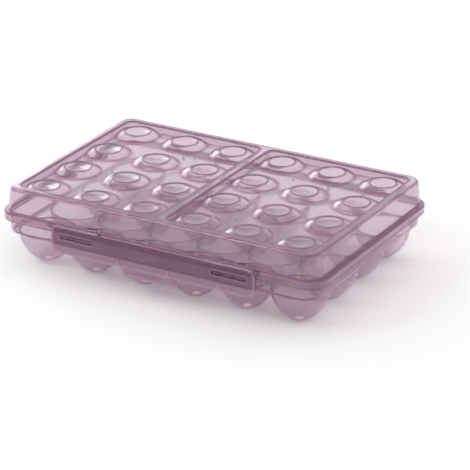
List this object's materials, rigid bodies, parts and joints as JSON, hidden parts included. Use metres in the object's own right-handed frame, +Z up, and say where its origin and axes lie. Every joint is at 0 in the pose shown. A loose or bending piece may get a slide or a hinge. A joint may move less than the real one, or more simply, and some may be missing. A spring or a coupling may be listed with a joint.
{
  "type": "egg storage box",
  "caption": "Clear hinged box that keeps eggs in ball-shaped cups, with a domed lid that others stack on and a tinted snap latch along the front.",
  "frame": {"origin": "on the table, under the middle of the closed box", "axes": "+X along the box's length, to the right seen from the latch; +Y from the latch towards the rear hinge; +Z up"},
  "size_m": [0.305, 0.21, 0.069],
  "materials": {
    "clear_plastic": "glossy, clear with a faint lilac tint",
    "tinted_plastic": "glossy, dark mauve, see-through"
  },
  "bodies": {
    "tray": {"base_tray": "clear_plastic"},
    "cover": {"lid": "clear_plastic"},
    "latch": {"front_latch": "tinted_plastic"}
  },
  "joints": [
    {"name": "lid_hinge", "type": "hinge", "parent": "tray", "child": "cover", "pos_m": [0, 0.1029, 0.0405], "axis": [-1, 0, 0], "range_deg": [0, 180]},
    {"name": "latch_hinge", "type": "hinge", "parent": "cover", "child": "latch", "pos_m": [0, -0.1032, 0.0472], "axis": [-1, 0, 0], "range_deg": [0, 170]}
  ]
}
